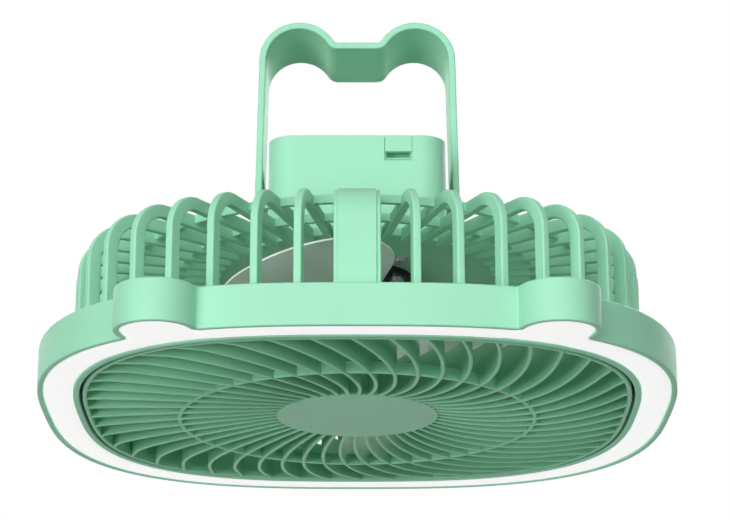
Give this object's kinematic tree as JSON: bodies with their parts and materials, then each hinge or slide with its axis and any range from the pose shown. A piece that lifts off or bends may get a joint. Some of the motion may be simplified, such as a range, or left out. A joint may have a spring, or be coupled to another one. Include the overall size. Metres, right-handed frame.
{
  "type": "camping fan",
  "caption": "Square-round camping fan with a light ring, swirl grille, ribbed rear guard, battery box and folding bail handle; it stands face down or hangs from the handle.",
  "frame": {"origin": "on the fan's axis, in the plane of the light ring and of the grille's centre disc", "axes": "+Z along the fan's axis from the face to the handle, -Y towards the side with the two lobes and the cover's latch, +X to the right of that side"},
  "size_m": [0.205, 0.21, 0.136],
  "materials": {
    "mint_plastic": "satin moulded",
    "grille_plastic": "satin moulded",
    "diffuser_plastic": "milky satin",
    "blade_plastic": "satin moulded",
    "board_laminate": "coated laminate",
    "led_resin": "clear resin",
    "control_laminate": "solder mask",
    "screw_steel": "zinc plated",
    "motor_alloy": "turned",
    "core_steel": "laminated",
    "coil_copper": "enamelled wire",
    "bearing_brass": "sintered",
    "can_steel": "nickel plated",
    "magnet_ferrite": "ferrite",
    "cell_wrap": "shrink sleeve over a steel can",
    "cradle_nylon": "natural nylon",
    "spring_steel": "nickel plated",
    "switch_plastic": "black moulded",
    "button_plastic": "satin moulded",
    "lens_plastic": "clear",
    "washer_nylon": "natural nylon"
  },
  "bodies": {
    "housing": {"front_frame": "mint_plastic", "light_diffuser": "diffuser_plastic", "led_boards": "board_laminate", "led_chips": "led_resin", "front_grille": "grille_plastic", "rear_guard": "mint_plastic", "guard_screws": "screw_steel", "motor_base": "motor_alloy", "motor_base_screws": "screw_steel", "stator_core": "core_steel", "stator_coils": "coil_copper", "motor_bearings": "bearing_brass", "battery_box": "mint_plastic", "box_screws": "screw_steel", "cell_cradle": "cradle_nylon", "battery_cells": "cell_wrap", "contact_springs": "spring_steel", "contact_plates": "spring_steel", "control_board": "control_laminate", "board_screws": "screw_steel", "button_switches": "switch_plastic", "usb_socket": "can_steel", "indicator_lens": "lens_plastic", "cover_hinge_pin": "screw_steel", "pivot_screws": "screw_steel", "friction_washers": "washer_nylon"},
    "spinner": {"impeller": "blade_plastic", "rotor_can": "can_steel", "magnet_ring": "magnet_ferrite", "motor_shaft": "screw_steel", "shaft_clip": "spring_steel"},
    "handle": {"handle": "mint_plastic"},
    "battery_cover": {"battery_cover": "mint_plastic"},
    "power_button": {"power_button": "button_plastic"},
    "light_button": {"light_button": "button_plastic"}
  },
  "joints": [
    {"name": "impeller_spin", "type": "hinge", "parent": "housing", "child": "spinner", "pos_m": [0, 0, 0.027], "axis": [0, 0, 1], "continuous": true},
    {"name": "handle_swing", "type": "hinge", "parent": "housing", "child": "handle", "pos_m": [0, 0, 0.066], "axis": [1, 0, 0], "range_deg": [-90, 90]},
    {"name": "battery_cover_lift", "type": "hinge", "parent": "housing", "child": "battery_cover", "pos_m": [0, 0.0342, 0.0832], "axis": [-1, 0, 0], "range_deg": [0, 30]},
    {"name": "power_button_press", "type": "slide", "parent": "housing", "child": "power_button", "axis": [0, -1, 0], "range_m": [0, 0.0008], "stiffness_N_per_m": 400},
    {"name": "light_button_press", "type": "slide", "parent": "housing", "child": "light_button", "axis": [0, -1, 0], "range_m": [0, 0.0008], "stiffness_N_per_m": 400}
  ]
}
